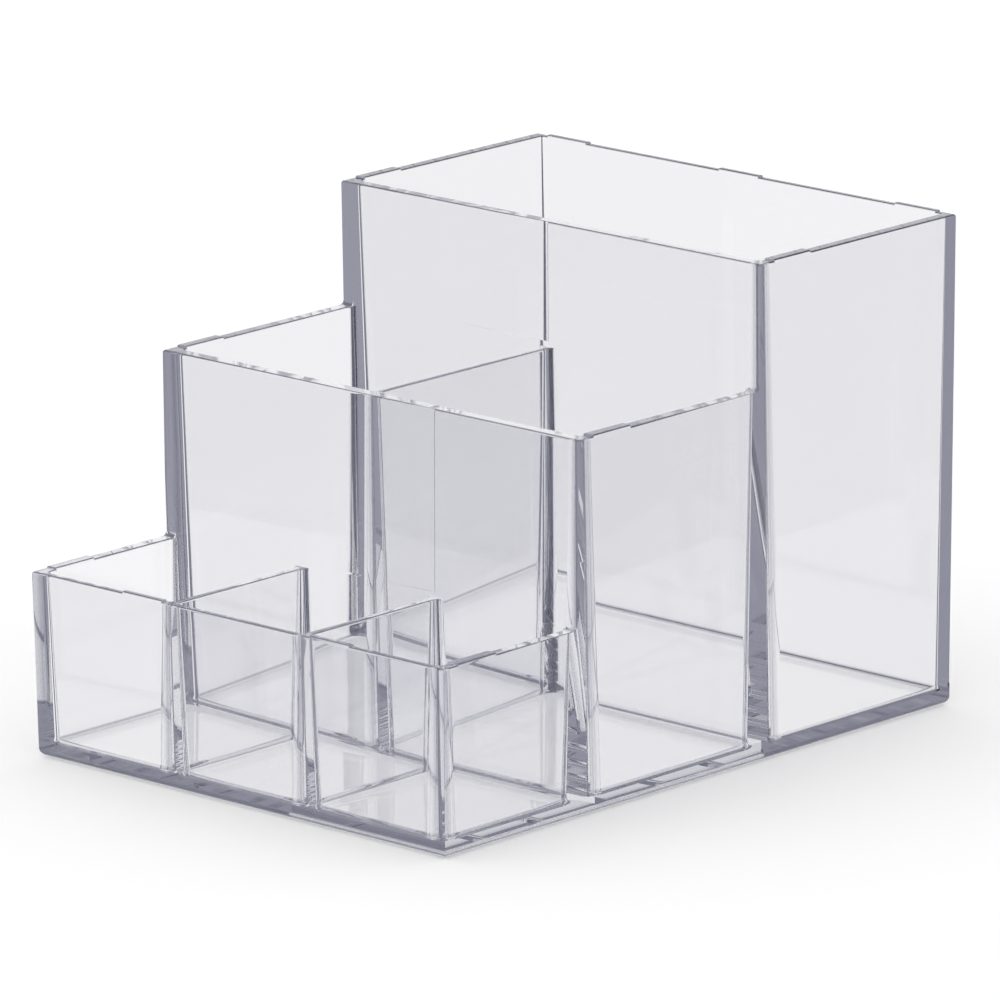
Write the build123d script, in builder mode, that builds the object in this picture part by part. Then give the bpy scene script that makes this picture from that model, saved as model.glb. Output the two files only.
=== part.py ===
"""Clear stepped desk holder: open-topped cells in three tiers that rise from front to back.

The front tier has three low cells, the middle tier two deeper ones and the rear tier one tall bay.
The origin is on the surface that the holder stands on, under the middle of its outline:
+X is to the right, +Y runs from the front to the back and +Z is up. Lengths are millimetres.
"""
from build123d import *
from math import radians, tan
import os

# Foot of the holder, measured on the surface that it stands on.
foot_width = 93.0
front_tier_depth = 31.0
middle_tier_depth = 44.5
tall_tier_depth = 49.5
base_thickness = 2.7
base_edge_radius = 1.5

# Rims, each counted up from the one before it.
front_rim_height = 32.0
middle_rim_rise = 32.0
tall_rim_rise = 21.5

# The side walls and the front wall have parallel faces, so each is equally thick from floor to rim.
side_wall_thickness = 2.25
front_wall_thickness = 1.3

# Thickness at the rim of the walls and dividers that grow towards the floor by their draft.
middle_wall_rim = 2.5
tall_wall_rim = 2.3
back_wall_rim = 1.35
front_divider_rim = 1.4
middle_divider_rim = 1.1

# Draft angles, in degrees from upright.
outer_side_draft = 0.8
outer_front_draft = 0.8
middle_face_draft = 0.6
tall_face_draft = 0.15
core_draft = 2.0
back_core_draft = 0.1
divider_draft = 0.6

# Round where a low rim runs into the upright edge of the next tier.
step_radius = 0.8

# Low pads that the ejectors leave on the rims.
pad_length = 9.0
pad_height = 0.3
pad_corner_gap = 3.5
pad_divider_gap = 1.0

middle_rim_height = front_rim_height + middle_rim_rise
tall_rim_height = middle_rim_height + tall_rim_rise


def drift(height, angle):
    """How far a face that leans by an angle has moved over a height."""
    return height * tan(radians(angle))


foot_depth = front_tier_depth + middle_tier_depth + tall_tier_depth
overall_depth = foot_depth + drift(front_rim_height, outer_front_draft)
back_y = overall_depth / 2
front_foot_y = back_y - foot_depth
middle_foot_y = front_foot_y + front_tier_depth
tall_foot_y = middle_foot_y + middle_tier_depth


def side_outer_x(z):
    """Outer face of the right wall."""
    return foot_width / 2 + drift(z, outer_side_draft)


def side_inner_x(z):
    """Inner face of the right wall, which is one plane through every tier."""
    return side_outer_x(z) - side_wall_thickness


def front_outer_y(z):
    """Front face of the front wall."""
    return front_foot_y - drift(z, outer_front_draft)


def front_inner_y(z):
    """Rear face of the front wall."""
    return front_outer_y(z) + front_wall_thickness


def middle_front_y(z):
    """Front face of the middle tier's front wall."""
    return middle_foot_y + drift(z, middle_face_draft)


def middle_rear_y(z):
    """Rear face of the middle tier's front wall."""
    return middle_front_y(middle_rim_height) + middle_wall_rim + drift(middle_rim_height - z, core_draft)


def tall_front_y(z):
    """Front face of the tall bay's front wall."""
    return tall_foot_y + drift(z, tall_face_draft)


def tall_rear_y(z):
    """Rear face of the tall bay's front wall."""
    return tall_front_y(tall_rim_height) + tall_wall_rim + drift(tall_rim_height - z, core_draft)


def back_inner_y(z):
    """Front face of the back wall."""
    return back_y - back_wall_rim - drift(tall_rim_height - z, back_core_draft)


def back_outer_y(z):
    """Rear face of the back wall, which is upright."""
    return back_y


def level_rectangle(z, left, right, front, rear):
    """A flat rectangle at height z between four sides."""
    with BuildSketch(Plane.XY.offset(z)) as outline:
        with Locations(((left + right) / 2, (front + rear) / 2)):
            Rectangle(right - left, rear - front)
    return outline.sketch


def cross_section_of_wall(z, front_face, rear_face):
    """Section at height z of a wall that runs from side wall to side wall."""
    return level_rectangle(z, -side_inner_x(z), side_inner_x(z), front_face(z), rear_face(z))


def cross_section_of_divider(z, centre_x, rim, rim_height, front_face, rear_face):
    """Section at height z of a divider that runs from front to back."""
    half = rim / 2 + drift(rim_height - z, divider_draft)
    return level_rectangle(z, centre_x - half, centre_x + half, front_face(z), rear_face(z))


def pad(z, centre_x, centre_y, along_x, along_y):
    """Footprint of an ejector pad on a rim at height z."""
    half_x = along_x / 2
    half_y = along_y / 2
    return level_rectangle(z, centre_x - half_x, centre_x + half_x, centre_y - half_y, centre_y + half_y)


def side_pad(z, front_face):
    """Footprint of the pad on the right wall's rim, behind the front corner of a tier."""
    start = front_face(z) + pad_corner_gap
    middle_x = (side_outer_x(z) + side_inner_x(z)) / 2
    return pad(z, middle_x, start + pad_length / 2, side_outer_x(z) - side_inner_x(z), pad_length)


# The two front dividers stand so that the three front cells are equally wide at their rim.
front_divider_x = (2 * side_inner_x(front_rim_height) + front_divider_rim) / 6

# The floor of every cell, with its lower edges rounded.
with BuildPart() as base_plate:
    loft(
        [
            level_rectangle(z, -side_outer_x(z), side_outer_x(z), front_outer_y(z), back_y)
            for z in (0, base_thickness)
        ],
        ruled=True,
    )
    fillet(base_plate.edges().group_by(Axis.Z)[0], base_edge_radius)
base_plate.part.label = "base_plate"

# A side wall is the trapezoid of its section, cut to the stepped outline of the tiers.
with BuildPart() as right_side_wall:
    with BuildSketch(Plane.XZ):
        with BuildLine():
            Polyline(
                (side_inner_x(base_thickness), base_thickness),
                (side_outer_x(base_thickness), base_thickness),
                (side_outer_x(tall_rim_height), tall_rim_height),
                (side_inner_x(tall_rim_height), tall_rim_height),
                close=True,
            )
        make_face()
    extrude(amount=overall_depth, both=True)
    with BuildSketch(Plane.YZ) as tiers:
        with BuildLine():
            Polyline(
                (front_outer_y(base_thickness), base_thickness),
                (front_outer_y(front_rim_height), front_rim_height),
                (middle_front_y(front_rim_height), front_rim_height),
                (middle_front_y(middle_rim_height), middle_rim_height),
                (tall_front_y(middle_rim_height), middle_rim_height),
                (tall_front_y(tall_rim_height), tall_rim_height),
                (back_y, tall_rim_height),
                (back_y, base_thickness),
                close=True,
            )
        make_face()
        step_corners = [
            tiers.vertices().sort_by_distance((front_face(z), z))[0]
            for z, front_face in ((front_rim_height, middle_front_y), (middle_rim_height, tall_front_y))
        ]
        fillet(step_corners, step_radius)
    extrude(amount=foot_width, mode=Mode.INTERSECT)
    for z, front_face in (
        (front_rim_height, front_outer_y),
        (middle_rim_height, middle_front_y),
        (tall_rim_height, tall_front_y),
    ):
        extrude(side_pad(z, front_face), amount=pad_height)
right_side_wall.part.label = "right_side_wall"

with BuildPart() as left_side_wall:
    mirror(right_side_wall.part, about=Plane.YZ)
left_side_wall.part.label = "left_side_wall"

# Walls that run from side to side stand on the floor between the side walls.
with BuildPart() as front_wall:
    loft(
        [cross_section_of_wall(z, front_outer_y, front_inner_y) for z in (base_thickness, front_rim_height)],
        ruled=True,
    )
    front_rim_y = front_outer_y(front_rim_height) + front_wall_thickness / 2
    front_pad_x = front_divider_x + front_divider_rim / 2 + pad_divider_gap + pad_length / 2
    for x in (-front_pad_x, front_pad_x):
        extrude(pad(front_rim_height, x, front_rim_y, pad_length, front_wall_thickness), amount=pad_height)
front_wall.part.label = "front_wall"

with BuildPart() as middle_front_wall:
    loft(
        [cross_section_of_wall(z, middle_front_y, middle_rear_y) for z in (base_thickness, middle_rim_height)],
        ruled=True,
    )
middle_front_wall.part.label = "middle_front_wall"

with BuildPart() as tall_front_wall:
    loft(
        [cross_section_of_wall(z, tall_front_y, tall_rear_y) for z in (base_thickness, tall_rim_height)],
        ruled=True,
    )
tall_front_wall.part.label = "tall_front_wall"

with BuildPart() as back_wall:
    loft(
        [cross_section_of_wall(z, back_inner_y, back_outer_y) for z in (base_thickness, tall_rim_height)],
        ruled=True,
    )
    back_rim_y = back_y - back_wall_rim / 2
    back_pad_x = side_outer_x(tall_rim_height) - pad_corner_gap - pad_length / 2
    for x in (-back_pad_x, 0, back_pad_x):
        extrude(pad(tall_rim_height, x, back_rim_y, pad_length, back_wall_rim), amount=pad_height)
back_wall.part.label = "back_wall"

# Dividers run from front to back and end level with the rim of their tier.
dividers = {
    "front_divider_left": (-front_divider_x, front_divider_rim, front_rim_height, front_inner_y, middle_front_y),
    "front_divider_right": (front_divider_x, front_divider_rim, front_rim_height, front_inner_y, middle_front_y),
    "middle_divider": (0, middle_divider_rim, middle_rim_height, middle_rear_y, tall_front_y),
}
divider_parts = []
for name, (x, rim, rim_height, front_face, rear_face) in dividers.items():
    with BuildPart() as divider:
        loft(
            [
                cross_section_of_divider(z, x, rim, rim_height, front_face, rear_face)
                for z in (base_thickness, rim_height)
            ],
            ruled=True,
        )
    divider.part.label = name
    divider_parts.append(divider.part)

os.makedirs("parts", exist_ok=True)
walls = [left_side_wall, right_side_wall, front_wall, middle_front_wall, tall_front_wall, back_wall]
for piece in [base_plate.part] + [wall.part for wall in walls] + divider_parts:
    export_step(piece, f"parts/{piece.label}.step")
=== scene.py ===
"""Clear stepped desk holder: one continuous moulding of clear plastic on a pale studio floor.

The moulding is shaped as its mould shapes it. A solid block with three steps is the outside, a
core is taken out of it for each cell, and the ejectors leave low pads on its rims. Every wall
stands where the frame has it. Lengths in this file are metres unless a name says otherwise.
"""

import math

import bmesh
import bpy
from bpy.props import FloatProperty, FloatVectorProperty, IntProperty, PointerProperty
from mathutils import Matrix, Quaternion, Vector


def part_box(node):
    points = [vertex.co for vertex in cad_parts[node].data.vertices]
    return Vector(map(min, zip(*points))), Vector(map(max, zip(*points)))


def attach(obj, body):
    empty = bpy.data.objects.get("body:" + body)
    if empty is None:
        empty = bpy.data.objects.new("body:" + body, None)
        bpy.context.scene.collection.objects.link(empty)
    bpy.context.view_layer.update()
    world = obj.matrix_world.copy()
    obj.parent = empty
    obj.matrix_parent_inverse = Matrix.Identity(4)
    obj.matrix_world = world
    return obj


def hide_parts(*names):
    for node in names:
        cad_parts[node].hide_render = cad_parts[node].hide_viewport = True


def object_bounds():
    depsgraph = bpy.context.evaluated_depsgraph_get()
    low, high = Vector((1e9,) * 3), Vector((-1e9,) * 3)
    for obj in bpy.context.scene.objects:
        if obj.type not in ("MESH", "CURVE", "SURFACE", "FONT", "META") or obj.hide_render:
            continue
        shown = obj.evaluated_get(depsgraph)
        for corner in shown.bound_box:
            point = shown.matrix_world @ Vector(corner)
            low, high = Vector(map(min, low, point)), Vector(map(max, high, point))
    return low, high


bl_info = {
    "name": "Stepped desk holder",
    "version": (1, 0, 0),
    "blender": (4, 5, 0),
    "location": "View3D > Sidebar > Desk holder",
    "description": "Moulds a clear stepped desk holder around its frame, and lights it",
    "category": "Object",
}

MM = 0.001

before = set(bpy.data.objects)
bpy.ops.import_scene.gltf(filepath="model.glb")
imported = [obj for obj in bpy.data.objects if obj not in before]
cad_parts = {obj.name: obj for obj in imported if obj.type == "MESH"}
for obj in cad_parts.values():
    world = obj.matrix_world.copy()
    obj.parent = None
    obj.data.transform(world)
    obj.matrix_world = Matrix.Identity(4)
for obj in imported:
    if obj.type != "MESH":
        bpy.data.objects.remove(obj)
cad_low, cad_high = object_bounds()


# ---------------------------------------------------------------- where the frame has the walls

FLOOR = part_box("base_plate")[1].z
FRONT_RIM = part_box("front_divider_left")[1].z
MIDDLE_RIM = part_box("middle_front_wall")[1].z
TALL_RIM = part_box("tall_front_wall")[1].z
PAD_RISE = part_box("back_wall")[1].z - TALL_RIM
SAME_HEIGHT = 0.01 * MM


def extreme(node, axis, pick, height):
    """Outermost coordinate of a wall of the frame at one height: pick is min or max."""
    corners = (v.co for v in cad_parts[node].data.vertices)
    return pick(c[axis] for c in corners if abs(c.z - height) < SAME_HEIGHT)


def leaning_face(node, axis, pick, rim):
    """Where a leaning face of the frame stands, as a function of height."""
    foot_place = extreme(node, axis, pick, FLOOR)
    rim_place = extreme(node, axis, pick, rim)
    lean = (rim_place - foot_place) / (rim - FLOOR)
    return lambda z: foot_place + lean * (z - FLOOR)


X, Y = 0, 1
side_outer = leaning_face("right_side_wall", X, max, TALL_RIM)
side_inner = leaning_face("right_side_wall", X, min, TALL_RIM)
front_outer = leaning_face("front_wall", Y, min, FRONT_RIM)
front_inner = leaning_face("front_wall", Y, max, FRONT_RIM)
middle_front = leaning_face("middle_front_wall", Y, min, MIDDLE_RIM)
middle_rear = leaning_face("middle_front_wall", Y, max, MIDDLE_RIM)
tall_front = leaning_face("tall_front_wall", Y, min, TALL_RIM)
tall_rear = leaning_face("tall_front_wall", Y, max, TALL_RIM)
back_inner = leaning_face("back_wall", Y, min, TALL_RIM)
back_outer = leaning_face("back_wall", Y, max, TALL_RIM)


def divider_faces(node, rim):
    """Left and right face of a divider, each as a function of height."""
    return leaning_face(node, X, min, rim), leaning_face(node, X, max, rim)


def mirrored(face):
    """The same face on the left side of the holder."""
    return lambda z: -face(z)


def pushed_back(face, step):
    """The same face, a step further to the rear."""
    return lambda z: face(z) + step


def raised_spans(node, axis, rim):
    """Start and end, along one axis, of each pad that stands on a rim of the frame."""
    top = rim + PAD_RISE
    corners = (v.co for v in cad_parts[node].data.vertices)
    places = sorted({round(c[axis], 6) for c in corners if abs(c.z - top) < SAME_HEIGHT})
    return list(zip(places[::2], places[1::2]))


# ---------------------------------------------------------------- values that a user would change


class MouldingSizes(bpy.types.PropertyGroup):
    """Rounds and steps that the mould gives the holder, on top of the frame's own sizes."""

    low_corner_radius: FloatProperty(
        name="Low cell corner radius",
        description="Round between two upright faces of a front cell, at its rim",
        default=1.3 * MM,
        unit="LENGTH",
    )
    low_foot_radius: FloatProperty(
        name="Low cell foot radius",
        description="Round between two upright faces of a front cell, at its floor",
        default=2.5 * MM,
        unit="LENGTH",
    )
    low_floor_radius: FloatProperty(
        name="Low cell floor radius",
        description="Round between the floor of a front cell and its walls",
        default=1.1 * MM,
        unit="LENGTH",
    )
    deep_corner_radius: FloatProperty(
        name="Deep cell corner radius",
        description="Round between two upright faces of a deep cell, at its rim",
        default=1.3 * MM,
        unit="LENGTH",
    )
    deep_foot_radius: FloatProperty(
        name="Deep cell foot radius",
        description="Round between two upright faces of a deep cell, at its floor",
        default=2.4 * MM,
        unit="LENGTH",
    )
    deep_rear_foot_radius: FloatProperty(
        name="Deep cell rear foot radius",
        description="Round between the rear wall of a deep cell and its sides, at its floor",
        default=2.4 * MM,
        unit="LENGTH",
    )
    deep_floor_radius: FloatProperty(
        name="Deep cell floor radius",
        description="Round between the floor of a deep cell and its walls",
        default=1.1 * MM,
        unit="LENGTH",
    )
    bay_corner_radius: FloatProperty(
        name="Tall bay rear corner radius",
        description="Round between the back wall and the side walls",
        default=0.25 * MM,
        unit="LENGTH",
    )
    bay_foot_radius: FloatProperty(
        name="Tall bay rear foot radius",
        description="Round between the back wall and the side walls, at the floor",
        default=1.2 * MM,
        unit="LENGTH",
    )
    bay_floor_radius: FloatProperty(
        name="Tall bay floor radius",
        description="Round between the floor of the tall bay and its walls",
        default=1.0 * MM,
        unit="LENGTH",
    )
    rim_radius: FloatProperty(
        name="Rim radius",
        description="Round along both edges of every rim",
        default=0.38 * MM,
        unit="LENGTH",
    )
    base_radius: FloatProperty(
        name="Base edge radius",
        description="Round along the lower outer edges",
        default=1.5 * MM,
        unit="LENGTH",
    )
    step_radius: FloatProperty(
        name="Step radius",
        description="Round where a low rim runs up into the next tier",
        default=0.8 * MM,
        unit="LENGTH",
    )
    flush_step: FloatProperty(
        name="Flush step",
        description="How much deeper than the face above it a core forms the rear wall of a cell",
        default=0.02 * MM,
        unit="LENGTH",
    )
    witness_step: FloatProperty(
        name="Witness step",
        description="Step between two neighbouring mould blocks on one wall",
        default=0.22 * MM,
        unit="LENGTH",
    )
    witness_gap: FloatProperty(
        name="Witness gap",
        description="Height above a rim at which a stepped panel begins",
        default=0.9 * MM,
        unit="LENGTH",
    )
    round_segments: IntProperty(
        name="Round segments", description="Facets across each round", default=8, min=2
    )
    rim_segments: IntProperty(
        name="Rim segments", description="Facets across the round of a rim", default=4, min=1
    )


class PlasticFinish(bpy.types.PropertyGroup):
    """Clear plastic with a faint violet-grey cast, with painted shade along its rounds and edges
    and painted light on its level faces.
    """

    wall_tint: FloatVectorProperty(
        name="Wall tint",
        description="Share of light that passes through one wall",
        subtype="COLOR",
        size=3,
        default=(0.982, 0.981, 0.991),
    )
    cloud_tint: FloatVectorProperty(
        name="Cloud tint",
        description="Wall tint in the faintly cloudy patches",
        subtype="COLOR",
        size=3,
        default=(0.968, 0.967, 0.98),
    )
    # Painted shade: every round and edge is painted darker, standing in for the dark lines that
    # light bent in the rounds gives.
    painted_edge_shade: FloatVectorProperty(
        name="Round tint",
        description="Share of light that passes where the surface turns away from a main direction",
        subtype="COLOR",
        size=3,
        default=(0.42, 0.42, 0.48),
    )
    # Painted light: level faces are painted a little lighter than the upright walls, standing in
    # for light from the floor below.
    painted_level_light: FloatVectorProperty(
        name="Level tint",
        description="Share of light that passes through a level face",
        subtype="COLOR",
        size=3,
        default=(0.995, 0.995, 0.998),
    )
    # Turn at which the painted edge shade begins.
    painted_shade_start: FloatProperty(
        name="Round start",
        description="Turn away from a main direction at which the round tint begins",
        default=math.radians(8),
        subtype="ANGLE",
    )
    absorption: FloatProperty(
        name="Absorption",
        description="Light taken away along the plastic, per metre, in the deepest colour",
        default=2.0,
    )
    depth_tint: FloatVectorProperty(
        name="Depth tint",
        description="Colour of the plastic seen along its length",
        subtype="COLOR",
        size=3,
        default=(0.5, 0.5, 0.58),
    )
    index: FloatProperty(
        name="Index of refraction",
        description="How much the clear plastic bends light",
        default=1.59,
    )
    wave_height: FloatProperty(
        name="Wave height",
        description="Height of the slow waves that moulding leaves in the walls",
        default=0.04 * MM,
        unit="LENGTH",
    )
    wave_length: FloatProperty(
        name="Wave length",
        description="Distance across one slow wave",
        default=25 * MM,
        unit="LENGTH",
    )


class StudioSetup(bpy.types.PropertyGroup):
    """Floor, light and camera."""

    floor_size: FloatProperty(
        name="Floor size", description="Side of the floor", default=12.0, unit="LENGTH"
    )
    floor_gap: FloatProperty(
        name="Floor gap",
        description="Thin air under the holder's foot, so that light stays in the plastic",
        default=0.15 * MM,
        unit="LENGTH",
    )
    floor_colour: FloatVectorProperty(
        name="Floor colour",
        description="Plain pale floor",
        subtype="COLOR",
        size=3,
        default=(0.98, 0.98, 0.98),
    )
    foot_margin: FloatProperty(
        name="Foot margin",
        description="Strip along the holder's outline where mirrored light passes the floor",
        default=3 * MM,
        unit="LENGTH",
    )
    sky_level: FloatProperty(
        name="Sky level",
        description="Light from all around, as diffuse surfaces get it",
        default=0.75,
    )
    key_level: FloatProperty(
        name="Key level", description="Soft light from above, on a level surface", default=0.33
    )
    key_spread: FloatProperty(
        name="Key spread",
        description="Angle that the soft light fills",
        default=math.radians(70),
        subtype="ANGLE",
    )
    key_pitch: FloatProperty(
        name="Key pitch",
        description="Turn of the soft light about the line from left to right",
        default=math.radians(18),
        subtype="ANGLE",
    )
    key_tilt: FloatProperty(
        name="Key tilt",
        description="Turn of the soft light about the line from front to back",
        default=math.radians(-14),
        subtype="ANGLE",
    )
    bright_side: FloatProperty(
        name="Bright side",
        description="Turn of the white backdrop that mirrored light sees, from rear to left",
        default=math.radians(43),
        subtype="ANGLE",
    )
    bright_spread: FloatProperty(
        name="Bright spread",
        description="Angle from the middle of the white backdrop to its soft edge",
        default=math.radians(50),
        subtype="ANGLE",
    )
    edge_softness: FloatProperty(
        name="Edge softness",
        description="Angle over which the backdrop and the lamp overhead fade out",
        default=math.radians(20),
        subtype="ANGLE",
    )
    overhead: FloatProperty(
        name="Overhead light",
        description="Height above the horizon from which the broad lamp overhead is seen",
        default=math.radians(55),
        subtype="ANGLE",
    )
    room_colour: FloatVectorProperty(
        name="Room colour",
        description="Dim room beside the backdrop, as mirrored light sees it",
        subtype="COLOR",
        size=3,
        default=(0.2, 0.2, 0.25),
    )
    mixed_colour: FloatVectorProperty(
        name="Mixed colour",
        description="What light sees after so many reflections that it has lost its picture",
        subtype="COLOR",
        size=3,
        default=(0.36, 0.36, 0.42),
    )
    clear_reflections: IntProperty(
        name="Clear reflections",
        description="Reflections after which the picture of the room starts to mix",
        default=5,
    )
    mixed_reflections: IntProperty(
        name="Mixed reflections",
        description="Reflections after which the picture of the room is gone",
        default=8,
    )
    guided_reflections: IntProperty(
        name="Guided reflections",
        description="Reflections after which light that reaches the floor starts to mix",
        default=8,
    )
    lost_reflections: IntProperty(
        name="Lost reflections",
        description="Reflections after which light that reaches the floor is mixed",
        default=12,
    )
    light_bounces: IntProperty(
        name="Light bounces",
        description="Reflections and refractions after which light is no longer followed",
        default=64,
    )
    azimuth: FloatProperty(
        name="Camera azimuth",
        description="Turn of the camera round the holder, from its front towards its right side",
        default=math.radians(42.988),
        subtype="ANGLE",
    )
    elevation: FloatProperty(
        name="Camera elevation",
        description="Angle of the camera above the floor",
        default=math.radians(14.468),
        subtype="ANGLE",
    )
    roll: FloatProperty(
        name="Camera roll",
        description="Tilt of the camera about its line of sight",
        default=math.radians(-0.444),
        subtype="ANGLE",
    )
    distance: FloatProperty(
        name="Camera distance",
        description="From the camera to the point it looks at",
        default=1.8747,
        unit="LENGTH",
    )
    target: FloatVectorProperty(
        name="Camera target",
        description="Point in the middle of the picture",
        subtype="TRANSLATION",
        size=3,
        default=(0.00064, 0.00059, 0.04005),
    )
    lens: FloatProperty(name="Lens", description="Focal length in millimetres", default=403.01)
    sensor: FloatProperty(name="Sensor", description="Sensor width in millimetres", default=36)


# ---------------------------------------------------------------- moulding

REACH = 1.2  # how far a cutter reaches past a rim, in step radii
BEYOND = 1.1  # how far out a panel begins where it runs past a side wall, in half widths
FACING_UP = 0.1  # least upward part of a rim face's direction
CREASE = math.radians(30)  # turn between two faces from which their edge is shaded sharp
CLOSE_CORNERS = 0.002 * MM  # distance at which two corners become one
NO_LENGTH = 0.001 * MM  # length below which an edge is taken out
SAME_PLANE = 0.0001 * MM  # distance at which a corner counts as on a cutting plane


def mesh_object(name, bm):
    """An object of this file's own that holds a finished bmesh."""
    mesh = bpy.data.meshes.new(name)
    bm.to_mesh(mesh)
    bm.free()
    made = bpy.data.objects.new(name, mesh)
    bpy.context.scene.collection.objects.link(made)
    return made


def each_once(parts):
    """The parts of a mesh without repeats, in the order in which they come."""
    return list(dict.fromkeys(parts))


def is_level(part, height):
    """Whether an edge or a face lies level at a height."""
    return all(abs(v.co.z - height) < SAME_HEIGHT for v in part.verts)


def round_off(bm, geom, radius, segments, affect="EDGES"):
    """Rounds edges or corners by a radius."""
    return bmesh.ops.bevel(
        bm,
        geom=geom,
        offset=radius,
        offset_type="OFFSET",
        segments=segments,
        profile=0.5,
        affect=affect,
        clamp_overlap=False,
        material=-1,
    )


def stepped_block(sizes):
    """The outside of the holder as a solid block, with its outer rim edges rounded."""
    outline = (
        (front_outer(0), 0),
        (front_outer(FRONT_RIM), FRONT_RIM),
        (middle_front(FRONT_RIM), FRONT_RIM),
        (middle_front(MIDDLE_RIM), MIDDLE_RIM),
        (tall_front(MIDDLE_RIM), MIDDLE_RIM),
        (tall_front(TALL_RIM), TALL_RIM),
        (back_outer(TALL_RIM), TALL_RIM),
        (back_outer(0), 0),
    )
    bm = bmesh.new()
    left = bm.faces.new([bm.verts.new((-side_outer(z), y, z)) for y, z in outline])
    grown = bmesh.ops.extrude_face_region(bm, geom=[left])["geom"]
    for v in grown:
        if isinstance(v, bmesh.types.BMVert):
            v.co.x = -v.co.x
    bmesh.ops.recalc_face_normals(bm, faces=bm.faces)

    def along_x_at(y, z):
        """The edge that runs from side to side at this place."""
        place = Vector((0, y, z))
        return min(bm.edges, key=lambda e: ((e.verts[0].co + e.verts[1].co) / 2 - place).length)

    steps = [
        along_x_at(middle_front(FRONT_RIM), FRONT_RIM),
        along_x_at(tall_front(MIDDLE_RIM), MIDDLE_RIM),
    ]
    base_edges = [e for e in bm.edges if is_level(e, 0)]
    for edges, radius in ((steps, sizes.step_radius), (base_edges, sizes.base_radius)):
        round_off(bm, edges, radius, sizes.round_segments)
    rims = (FRONT_RIM, MIDDLE_RIM, TALL_RIM)
    rim_edges = [e for e in bm.edges if e.is_convex and any(is_level(e, rim) for rim in rims)]
    round_off(bm, rim_edges, sizes.rim_radius, sizes.rim_segments)
    return mesh_object("block", bm)


def rounded_rectangle(bm, sides, z, flare, rear_flare, front_radius, rear_radius, segments):
    """A level face with rounded corners between four sides that are moved outwards by a flare."""
    left, right, front, rear = (side(z) for side in sides)
    left, right, front, rear = left - flare, right + flare, front - flare, rear + rear_flare
    places = ((left, front), (right, front), (right, rear), (left, rear))
    corners = [bm.verts.new((x, y, z)) for x, y in places]
    bm.faces.new(corners)
    rounds = []
    for pair, radius in ((corners[:2], front_radius), (corners[2:], rear_radius)):
        rounds += round_off(bm, pair, radius, segments, affect="VERTICES")["verts"]
    return each_once(e for v in rounds for e in v.link_edges)


def add_core(bm, sizes, sides, rim, open_rear, rim_rounds, foot_rounds, floor_round):
    """The core that shapes one cell, from its floor over the rounds of its rim to above it.

    Where the rear wall of the cell goes on up into the next tier, its rim has no round.
    """
    segments, lip = sizes.round_segments, sizes.rim_radius
    foot = rounded_rectangle(bm, sides, FLOOR, 0, 0, *foot_rounds, segments)
    below = foot
    quarter = math.pi / 2
    turns = [quarter * step / sizes.rim_segments for step in range(sizes.rim_segments + 1)]
    rings = [(rim - lip + lip * math.sin(turn), lip - lip * math.cos(turn)) for turn in turns]
    rings.append((rim + REACH * sizes.step_radius, lip))
    for z, flare in rings:
        rear_flare = flare if open_rear else 0
        ring = rounded_rectangle(bm, sides, z, flare, rear_flare, *rim_rounds, segments)
        bmesh.ops.bridge_loops(bm, edges=below + ring)
        if z < rings[-1][0]:
            filled = [f for f in ring[0].link_faces if is_level(f, z)]
            bmesh.ops.delete(bm, geom=filled, context="FACES_ONLY")
        below = ring
    round_off(bm, foot, floor_round, segments)


def cores(sizes):
    """All six cores: three in the front tier, two in the middle tier and one in the tall bay."""
    outer_left, outer_right = mirrored(side_inner), side_inner
    left_divider = divider_faces("front_divider_left", FRONT_RIM)
    right_divider = divider_faces("front_divider_right", FRONT_RIM)
    middle_divider = divider_faces("middle_divider", MIDDLE_RIM)
    low_rounds = (
        (sizes.low_corner_radius, sizes.low_corner_radius),
        (sizes.low_foot_radius, sizes.low_foot_radius),
        sizes.low_floor_radius,
    )
    rim_round, foot_round = sizes.deep_corner_radius, sizes.deep_foot_radius
    deep_rounds = (
        (rim_round, rim_round),
        (foot_round, sizes.deep_rear_foot_radius),
        sizes.deep_floor_radius,
    )
    bay_rounds = (
        (rim_round, sizes.bay_corner_radius),
        (foot_round, sizes.bay_foot_radius),
        sizes.bay_floor_radius,
    )
    middle_wall = pushed_back(middle_front, sizes.flush_step)
    tall_wall = pushed_back(tall_front, sizes.flush_step)
    bm = bmesh.new()
    for left, right in (
        (outer_left, left_divider[0]),
        (left_divider[1], right_divider[0]),
        (right_divider[1], outer_right),
    ):
        sides = (left, right, front_inner, middle_wall)
        add_core(bm, sizes, sides, FRONT_RIM, False, *low_rounds)
    for left, right in ((outer_left, middle_divider[0]), (middle_divider[1], outer_right)):
        sides = (left, right, middle_rear, tall_wall)
        add_core(bm, sizes, sides, MIDDLE_RIM, False, *deep_rounds)
    sides = (outer_left, outer_right, tall_rear, back_inner)
    add_core(bm, sizes, sides, TALL_RIM, True, *bay_rounds)
    bmesh.ops.recalc_face_normals(bm, faces=bm.faces)
    return mesh_object("cores", bm)


def rim_rooms(sizes):
    """The room above the dividers' rims, where no round runs up into the next tier."""
    reach = REACH * sizes.step_radius
    bm = bmesh.new()
    for face, rim in ((middle_front, FRONT_RIM), (tall_front, MIDDLE_RIM)):
        for v in bmesh.ops.create_cube(bm, size=1)["verts"]:
            z = rim if v.co.z < 0 else rim + reach
            x = side_inner(z) if v.co.x > 0 else -side_inner(z)
            v.co = (x, face(z) + (sizes.flush_step if v.co.y > 0 else -reach), z)
    return mesh_object("rim_rooms", bm)


def add_panel(bm, sizes, left, right, face, low, high):
    """A thin wedge that takes a witness step off a wall, deepest along its right line."""
    step = sizes.witness_step
    for v in bmesh.ops.create_cube(bm, size=1)["verts"]:
        z = (low if v.co.z < 0 else high) + sizes.witness_gap
        x, depth = (left, -step) if v.co.x < 0 else (right, step)
        v.co = (x, face(z) + (-sizes.step_radius if v.co.y < 0 else depth), z)


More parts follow.
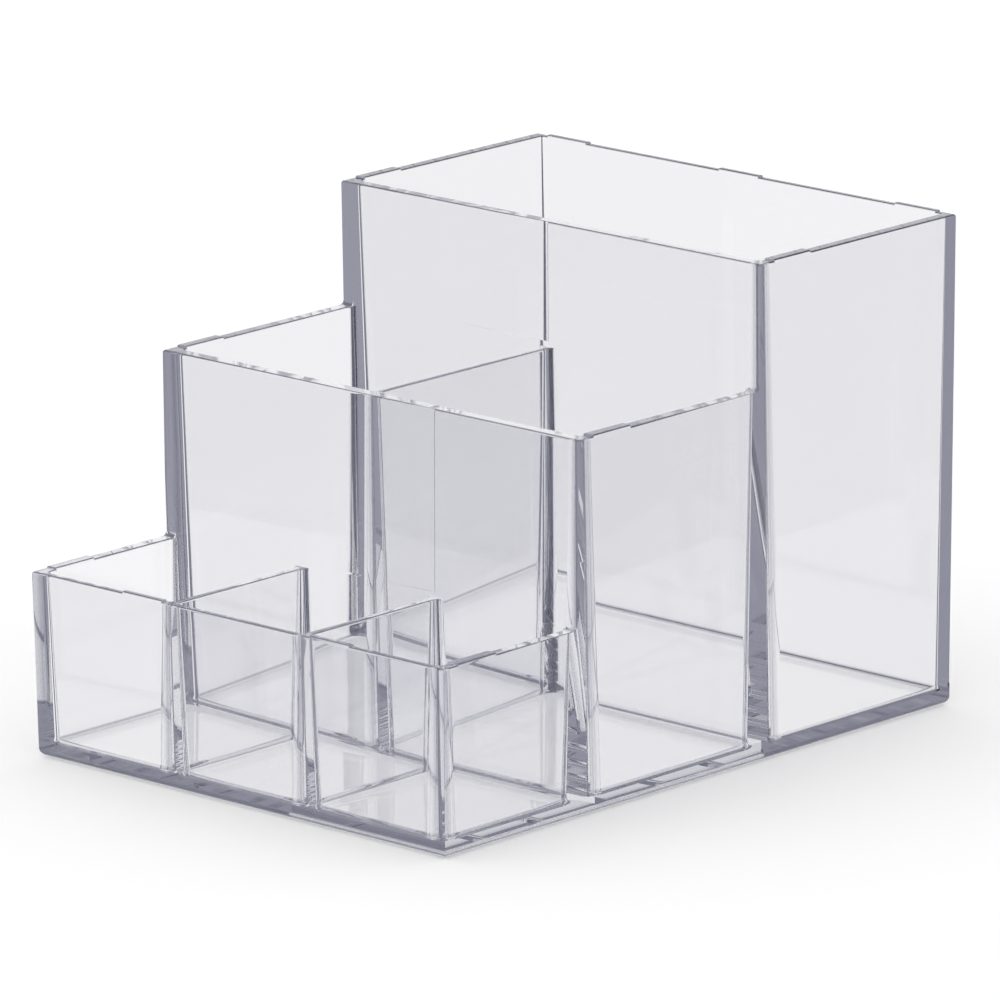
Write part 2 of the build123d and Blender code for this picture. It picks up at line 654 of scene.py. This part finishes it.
def witness_panels(sizes):
    """Where one mould block stands a little deeper than its neighbour, up to a line."""
    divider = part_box("front_divider_right")
    divider_line = (divider[0].x + divider[1].x) / 2
    beyond_side = -BEYOND * side_outer(TALL_RIM)
    bm = bmesh.new()
    add_panel(bm, sizes, -divider_line, divider_line, middle_front, FRONT_RIM, MIDDLE_RIM)
    add_panel(bm, sizes, beyond_side, 0, tall_front, MIDDLE_RIM, TALL_RIM)
    return mesh_object("panels", bm)


def merge_close_corners(bm):
    """Takes out edges that are too short to see."""
    bmesh.ops.remove_doubles(bm, verts=bm.verts, dist=CLOSE_CORNERS)
    bmesh.ops.dissolve_degenerate(bm, dist=NO_LENGTH, edges=bm.edges)


def cut_away(block, *cutters):
    """The block without the room that the cutters take, as one closed bmesh."""
    for cutter in cutters:
        cut = block.modifiers.new(cutter.name, "BOOLEAN")
        cut.operation = "DIFFERENCE"
        cut.solver = "EXACT"
        cut.object = cutter
    bpy.context.view_layer.update()
    evaluated = block.evaluated_get(bpy.context.evaluated_depsgraph_get())
    bm = bmesh.new()
    bm.from_mesh(evaluated.to_mesh())
    evaluated.to_mesh_clear()
    for used in (block, *cutters):
        bpy.data.meshes.remove(used.data)
    merge_close_corners(bm)
    return bm


def rim_faces(bm, rim, depth):
    """The level faces of one rim, with the rounds along its edges down to a depth."""
    return [
        f
        for f in bm.faces
        if f.normal.z > FACING_UP
        and rim - depth < f.calc_center_median().z < rim + SAME_HEIGHT
    ]


def raise_pad(bm, rim, depth, axis, span, low, high):
    """Raises the stretch of a rim between the two ends of span that lies between two corners."""
    for place in span:
        faces = rim_faces(bm, rim, depth)
        geom = each_once(g for f in faces for g in (f, *f.edges, *f.verts))
        plane_point, plane_normal = Vector(), Vector()
        plane_point[axis], plane_normal[axis] = place, 1
        bmesh.ops.bisect_plane(
            bm, geom=geom, dist=SAME_PLANE, plane_co=plane_point, plane_no=plane_normal
        )

    def inside(face):
        centre = face.calc_center_median()
        on_wall = all(low[i] < centre[i] < high[i] for i in (X, Y))
        return on_wall and span[0] < centre[axis] < span[1]

    footprint = [f for f in rim_faces(bm, rim, depth) if inside(f)]
    grown = bmesh.ops.extrude_face_region(bm, geom=footprint)
    top = [g for g in grown["geom"] if isinstance(g, bmesh.types.BMVert)]
    bmesh.ops.translate(bm, verts=top, vec=(0, 0, PAD_RISE))
    bmesh.ops.delete(bm, geom=footprint, context="FACES")


def raise_pads(bm, depth):
    """All the pads that the ejectors leave, where the frame has them."""
    for node in ("left_side_wall", "right_side_wall"):
        for rim in (FRONT_RIM, MIDDLE_RIM, TALL_RIM):
            for span in raised_spans(node, Y, rim):
                raise_pad(bm, rim, depth, Y, span, *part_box(node))
    for node, rim in (("front_wall", FRONT_RIM), ("back_wall", TALL_RIM)):
        for span in raised_spans(node, X, rim):
            raise_pad(bm, rim, depth, X, span, *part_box(node))


def mark_sharp_edges(bm):
    """Smooth shading, with a crease wherever two faces turn more than a round's facets do."""
    for f in bm.faces:
        f.smooth = True
    for e in bm.edges:
        e.smooth = e.calc_face_angle(0) < CREASE


# ---------------------------------------------------------------- materials

WHITE = (1, 1, 1)
CLOUD_SIZE = 1.2  # distance across a cloudy patch, in wave lengths
# The painted edge shade is full at this turn.
HALFWAY = math.radians(45)  # turn at which a surface faces two main directions alike


def node_tree_of(material):
    """The node tree of a material or of the world, made empty."""
    material.use_nodes = True
    material.node_tree.nodes.clear()
    return material.node_tree


def add_node(tree, kind, **settings):
    """A new node of a tree, with its settings."""
    node = tree.nodes.new(kind)
    for name, value in settings.items():
        setattr(node, name, value)
    return node


def blend(tree, share, first, second):
    """The first colour where share is zero and the second where it is one, plain or from a node."""
    mix = add_node(tree, "ShaderNodeMix", data_type="RGBA")
    tree.links.new(share, mix.inputs["Factor"])
    for name, colour in (("A", first), ("B", second)):
        if isinstance(colour, bpy.types.NodeSocket):
            tree.links.new(colour, mix.inputs[name])
        else:
            mix.inputs[name].default_value = (*colour, 1)
    return mix.outputs["Result"]


def noise_field(tree, coordinates, size, detail):
    """Soft noise whose features are about one size across."""
    noise = add_node(tree, "ShaderNodeTexNoise", noise_dimensions="3D")
    noise.inputs["Scale"].default_value = 1 / size
    noise.inputs["Detail"].default_value = detail
    tree.links.new(coordinates, noise.inputs["Vector"])
    return noise.outputs["Fac"]


def clear_plastic(finish):
    """Clear plastic: smooth, a little wavy, and deeper in colour the longer light runs in it. Its
    rounds and edges carry painted shade, and its level faces painted light.
    """
    material = bpy.data.materials.new("clear_plastic")
    tree = node_tree_of(material)
    link = tree.links.new
    coordinates = add_node(tree, "ShaderNodeTexCoord").outputs["Object"]

    cloud = noise_field(tree, coordinates, CLOUD_SIZE * finish.wave_length, detail=1.0)
    upright = blend(tree, cloud, finish.wall_tint, finish.cloud_tint)
    normal = add_node(tree, "ShaderNodeTexCoord").outputs["Normal"]
    facing = add_node(tree, "ShaderNodeVectorMath", operation="ABSOLUTE")
    link(normal, facing.inputs[0])
    along = add_node(tree, "ShaderNodeSeparateXYZ")
    link(facing.outputs["Vector"], along.inputs["Vector"])
    # Painted light: level faces get a lighter tint than the upright walls.
    flat = blend(tree, along.outputs["Z"], upright, finish.painted_level_light)
    # Painted shade: where a face turns away from every main direction, on the rounds, its colour is
    # painted darker.
    painted_shade_share = add_node(tree, "ShaderNodeMapRange")
    painted_shade_share.inputs["From Min"].default_value = math.cos(finish.painted_shade_start)
    painted_shade_share.inputs["From Max"].default_value = math.cos(HALFWAY)
    link(any_of(tree, *(along.outputs[axis] for axis in "XYZ")), painted_shade_share.inputs["Value"])
    colour = blend(tree, painted_shade_share.outputs["Result"], flat, finish.painted_edge_shade)

    wave = noise_field(tree, coordinates, finish.wave_length, detail=0.0)
    bump = add_node(tree, "ShaderNodeBump")
    bump.inputs["Distance"].default_value = finish.wave_height
    bump.inputs["Strength"].default_value = 1.0
    link(wave, bump.inputs["Height"])

    plastic = add_node(tree, "ShaderNodeBsdfPrincipled")
    plastic.inputs["Roughness"].default_value = 0.0
    plastic.inputs["IOR"].default_value = finish.index
    plastic.inputs["Transmission Weight"].default_value = 1.0
    link(colour, plastic.inputs["Base Color"])
    link(bump.outputs["Normal"], plastic.inputs["Normal"])

    shadow = add_node(tree, "ShaderNodeBsdfTransparent")
    shadow.inputs["Color"].default_value = (*finish.wall_tint, 1)
    by_lamp = add_node(tree, "ShaderNodeLightPath").outputs["Is Shadow Ray"]
    surface = add_node(tree, "ShaderNodeMixShader")
    link(by_lamp, surface.inputs[0])
    link(plastic.outputs["BSDF"], surface.inputs[1])
    link(shadow.outputs["BSDF"], surface.inputs[2])

    depth = add_node(tree, "ShaderNodeVolumeAbsorption")
    depth.inputs["Color"].default_value = (*finish.depth_tint, 1)
    depth.inputs["Density"].default_value = finish.absorption / (1 - min(finish.depth_tint))

    output = add_node(tree, "ShaderNodeOutputMaterial")
    link(surface.outputs["Shader"], output.inputs["Surface"])
    link(depth.outputs["Volume"], output.inputs["Volume"])
    return material


def any_of(tree, *values):
    """The largest of several values."""
    largest = values[0]
    for value in values[1:]:
        either = add_node(tree, "ShaderNodeMath", operation="MAXIMUM")
        tree.links.new(largest, either.inputs[0])
        tree.links.new(value, either.inputs[1])
        largest = either.outputs["Value"]
    return largest


def was_mirrored(tree, path):
    """One for light that a face has mirrored on its way, and zero for light that came straight."""
    mirrored_once = add_node(tree, "ShaderNodeMath", operation="MINIMUM")
    tree.links.new(path.outputs["Glossy Depth"], mirrored_once.inputs[0])
    mirrored_once.inputs[1].default_value = 1
    return mirrored_once.outputs["Value"]


def mixed_share(tree, path, start, end):
    """How much of its picture light has lost: none up to start reflections, and all after end."""
    share = add_node(tree, "ShaderNodeMapRange", interpolation_type="SMOOTHSTEP")
    share.inputs["From Min"].default_value = start
    share.inputs["From Max"].default_value = end
    tree.links.new(path.outputs["Glossy Depth"], share.inputs["Value"])
    return share.outputs["Result"]


def under_holder(tree, margin):
    """One under the foot of the holder, and zero around it and under its outermost strip."""
    place = add_node(tree, "ShaderNodeTexCoord").outputs["Object"]
    away = add_node(tree, "ShaderNodeVectorMath", operation="ABSOLUTE")
    tree.links.new(place, away.inputs[0])
    share = add_node(tree, "ShaderNodeVectorMath", operation="DIVIDE")
    tree.links.new(away.outputs["Vector"], share.inputs[0])
    share.inputs[1].default_value = (cad_high.x - margin, cad_high.y - margin, 1)
    axes = add_node(tree, "ShaderNodeSeparateXYZ")
    tree.links.new(share.outputs["Vector"], axes.inputs["Vector"])
    inside = add_node(tree, "ShaderNodeMath", operation="LESS_THAN")
    tree.links.new(any_of(tree, axes.outputs["X"], axes.outputs["Y"]), inside.inputs[0])
    inside.inputs[1].default_value = 1
    return inside.outputs["Value"]


def floor_material(studio):
    """Plain pale matt floor that clear faces show as white, and that mirrored light passes."""
    material = bpy.data.materials.new("studio_floor")
    tree = node_tree_of(material)
    link = tree.links.new
    path = add_node(tree, "ShaderNodeLightPath")
    matt = add_node(tree, "ShaderNodeBsdfDiffuse")
    matt.inputs["Color"].default_value = (*studio.floor_colour, 1)
    lost = mixed_share(tree, path, studio.guided_reflections, studio.lost_reflections)
    seen = add_node(tree, "ShaderNodeEmission")
    link(blend(tree, lost, WHITE, studio.mixed_colour), seen.inputs["Color"])
    passed = add_node(tree, "ShaderNodeBsdfTransparent")
    around = add_node(tree, "ShaderNodeMath", operation="SUBTRACT", use_clamp=True)
    link(was_mirrored(tree, path), around.inputs[0])
    link(under_holder(tree, studio.foot_margin), around.inputs[1])
    shown = add_node(tree, "ShaderNodeMixShader")
    link(around.outputs["Value"], shown.inputs[0])
    link(seen.outputs["Emission"], shown.inputs[1])
    link(passed.outputs["BSDF"], shown.inputs[2])
    through = any_of(tree, path.outputs["Is Glossy Ray"], path.outputs["Is Transmission Ray"])
    surface = add_node(tree, "ShaderNodeMixShader")
    link(through, surface.inputs[0])
    link(matt.outputs["BSDF"], surface.inputs[1])
    link(shown.outputs["Shader"], surface.inputs[2])
    output = add_node(tree, "ShaderNodeOutputMaterial")
    link(surface.outputs["Shader"], output.inputs["Surface"])
    return material


def towards(tree, direction, nearest, softness):
    """One where the view is within an angle of a direction, fading to zero over a softness."""
    view = add_node(tree, "ShaderNodeTexCoord").outputs["Generated"]
    along = add_node(tree, "ShaderNodeVectorMath", operation="DOT_PRODUCT")
    tree.links.new(view, along.inputs[0])
    along.inputs[1].default_value = direction
    fade = add_node(tree, "ShaderNodeMapRange", interpolation_type="SMOOTHSTEP")
    fade.inputs["From Min"].default_value = math.cos(nearest + softness / 2)
    fade.inputs["From Max"].default_value = math.cos(nearest - softness / 2)
    tree.links.new(along.outputs["Value"], fade.inputs["Value"])
    return fade.outputs["Result"]


def light_the_world(studio):
    """Even light from all around, seen as white. Mirrored light sees a backdrop in a dim room."""
    world = bpy.data.worlds.new("studio")
    bpy.context.scene.world = world
    tree = node_tree_of(world)
    link = tree.links.new
    path = add_node(tree, "ShaderNodeLightPath")

    side = (-math.sin(studio.bright_side), math.cos(studio.bright_side), 0)
    backdrop = towards(tree, side, studio.bright_spread, studio.edge_softness)
    lamp = towards(tree, (0, 0, 1), math.pi / 2 - studio.overhead, studio.edge_softness)
    room = blend(tree, any_of(tree, backdrop, lamp), studio.room_colour, WHITE)
    lost = mixed_share(tree, path, studio.clear_reflections, studio.mixed_reflections)
    mixed = blend(tree, lost, room, studio.mixed_colour)
    shown = blend(tree, was_mirrored(tree, path), WHITE, mixed)

    rays = ("Is Camera Ray", "Is Glossy Ray", "Is Transmission Ray")
    seen = any_of(tree, *(path.outputs[ray] for ray in rays))
    sky = add_node(tree, "ShaderNodeBackground")
    link(blend(tree, seen, [studio.sky_level] * 3, shown), sky.inputs["Color"])
    output = add_node(tree, "ShaderNodeOutputWorld")
    link(sky.outputs["Background"], output.inputs["Surface"])


# ---------------------------------------------------------------- operators

CLIP_RANGE = (0.1, 100)  # nearest and furthest distance that the camera shows


class HOLDER_OT_moulding(bpy.types.Operator):
    """Shapes the holder's one clear moulding and gives it its plastic"""

    bl_idname = "holder.moulding"
    bl_label = "Clear moulding"

    def execute(self, context):
        sizes = context.scene.moulding_sizes
        cutters = (cores(sizes), rim_rooms(sizes), witness_panels(sizes))
        bm = cut_away(stepped_block(sizes), *cutters)
        raise_pads(bm, sizes.rim_radius)
        merge_close_corners(bm)
        bmesh.ops.recalc_face_normals(bm, faces=bm.faces)
        mark_sharp_edges(bm)
        moulding = mesh_object("clear_moulding", bm)
        moulding.data.materials.append(clear_plastic(context.scene.plastic_finish))
        weighted = moulding.modifiers.new("flat_walls", "WEIGHTED_NORMAL")
        weighted.keep_sharp = True
        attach(moulding, "root")
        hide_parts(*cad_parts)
        return {"FINISHED"}


class HOLDER_OT_studio(bpy.types.Operator):
    """Sets the floor, the light and the camera"""

    bl_idname = "holder.studio"
    bl_label = "Studio"

    def execute(self, context):
        scene = context.scene
        studio = scene.studio_setup
        bm = bmesh.new()
        bmesh.ops.create_grid(bm, x_segments=1, y_segments=1, size=studio.floor_size / 2)
        bmesh.ops.translate(bm, verts=bm.verts, vec=(0, 0, -studio.floor_gap))
        floor = mesh_object("studio_floor", bm)
        floor.data.materials.append(floor_material(studio))

        light_the_world(studio)
        key = bpy.data.lights.new("key_light", "SUN")
        key.energy = studio.key_level * math.pi
        key.angle = studio.key_spread
        lamp = bpy.data.objects.new("key_light", key)
        lamp.rotation_euler = (studio.key_pitch, studio.key_tilt, 0)
        lamp.visible_glossy = False
        lamp.visible_transmission = False
        scene.collection.objects.link(lamp)

        flat = math.cos(studio.elevation)
        sight = Vector(
            (
                -math.sin(studio.azimuth) * flat,
                math.cos(studio.azimuth) * flat,
                -math.sin(studio.elevation),
            )
        )
        camera = bpy.data.objects.new("camera", bpy.data.cameras.new("camera"))
        camera.data.lens = studio.lens
        camera.data.sensor_width = studio.sensor
        camera.data.clip_start, camera.data.clip_end = CLIP_RANGE
        camera.rotation_mode = "QUATERNION"
        roll = Quaternion((0, 0, 1), studio.roll)
        camera.rotation_quaternion = sight.to_track_quat("-Z", "Y") @ roll
        camera.location = Vector(studio.target) - sight * studio.distance
        scene.collection.objects.link(camera)
        scene.camera = camera

        scene.view_settings.view_transform = "Standard"
        scene.cycles.max_bounces = studio.light_bounces
        scene.cycles.transmission_bounces = studio.light_bounces
        scene.cycles.glossy_bounces = studio.light_bounces
        return {"FINISHED"}


class HOLDER_PT_panel(bpy.types.Panel):
    """Lists the steps that make the holder"""

    bl_idname = "HOLDER_PT_panel"
    bl_label = "Desk holder"
    bl_space_type = "VIEW_3D"
    bl_region_type = "UI"
    bl_category = "Desk holder"

    def draw(self, context):
        for step in STEPS:
            self.layout.operator(step.bl_idname)


STEPS = (HOLDER_OT_moulding, HOLDER_OT_studio)
SETTINGS = {
    "moulding_sizes": MouldingSizes,
    "plastic_finish": PlasticFinish,
    "studio_setup": StudioSetup,
}


def register():
    """Makes the settings, the steps and the panel known to Blender."""
    for cls in (*SETTINGS.values(), *STEPS, HOLDER_PT_panel):
        bpy.utils.register_class(cls)
    for name, group in SETTINGS.items():
        setattr(bpy.types.Scene, name, PointerProperty(type=group))


def unregister():
    """Takes them out again."""
    for name in SETTINGS:
        delattr(bpy.types.Scene, name)
    for cls in (HOLDER_PT_panel, *STEPS, *SETTINGS.values()):
        bpy.utils.unregister_class(cls)


def main():
    """Makes the holder and its studio."""
    register()
    bpy.ops.holder.moulding()
    bpy.ops.holder.studio()


if __name__ == "__main__":
    main()
